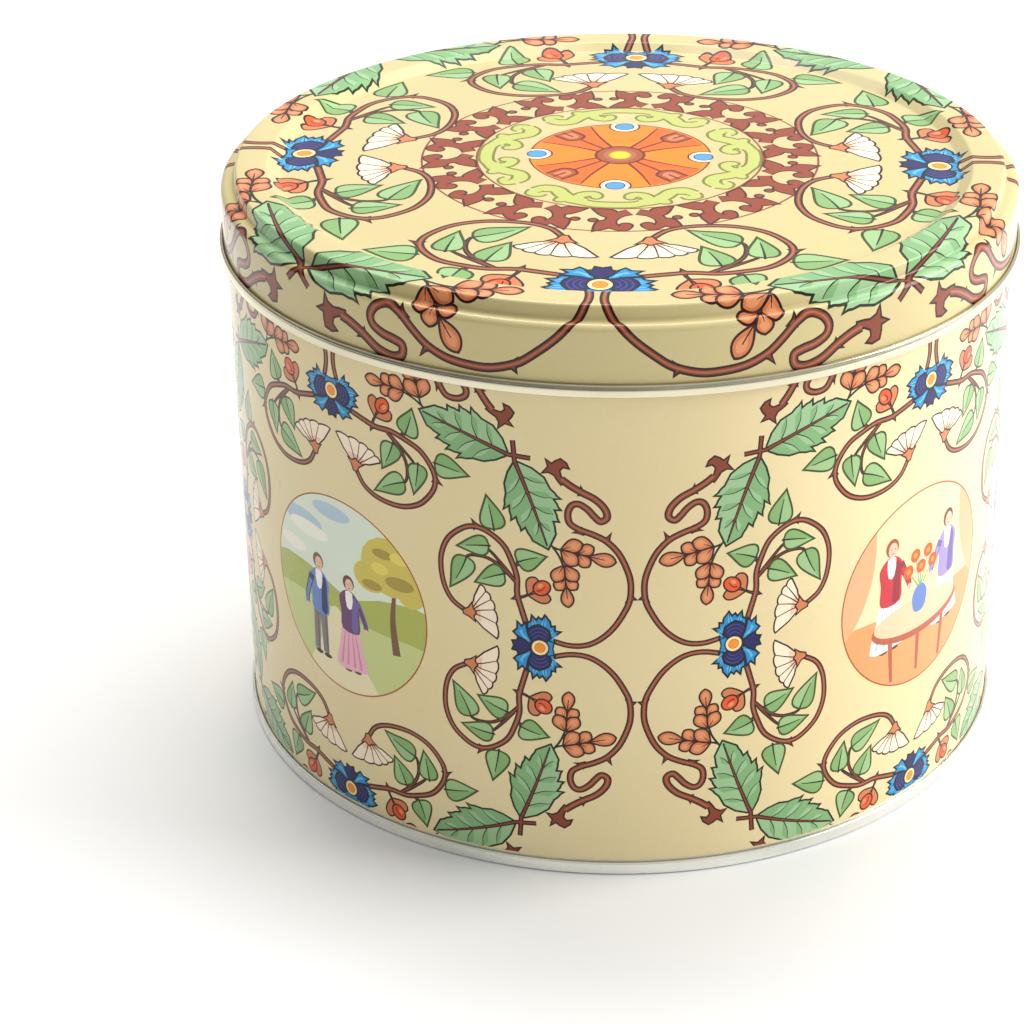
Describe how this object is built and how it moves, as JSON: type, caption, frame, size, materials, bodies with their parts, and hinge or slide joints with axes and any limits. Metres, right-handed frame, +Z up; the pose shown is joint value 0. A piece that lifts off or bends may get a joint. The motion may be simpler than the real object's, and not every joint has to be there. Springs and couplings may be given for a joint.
{
  "type": "round lithographed tin",
  "caption": "Round printed tinplate tin with a slip-on lid: recessed lid panel, raised ridge, rolled hem, curled body top and a seamed bottom.",
  "frame": {"origin": "centre of the base, on the surface that the tin stands on", "axes": "+Z up the tin's axis; -Y is the front, midway between two of the wall's four medallions; the lock seam is at +Y"},
  "size_m": [0.2066, 0.2066, 0.152],
  "materials": {
    "body_print": "cream litho print with vines, leaves and flowers under a clear gloss varnish; bare tinplate inside",
    "lid_print": "cream litho print with vines, leaves and flowers under a clear gloss varnish; bare tinplate inside and on the hem's cut edge",
    "tinplate": "bright bare tinplate with faint rolling lines",
    "seam_compound": "matt flowed-in rubber"
  },
  "bodies": {
    "tin_body": {"body_wall": "body_print", "bottom_end": "tinplate", "seam_compound": "seam_compound"},
    "lid": {"lid": "lid_print"}
  },
  "joints": [
    {"name": "lid_lift", "type": "slide", "parent": "tin_body", "child": "lid", "axis": [0, 0, 1], "range_m": [0, 0.15]}
  ]
}
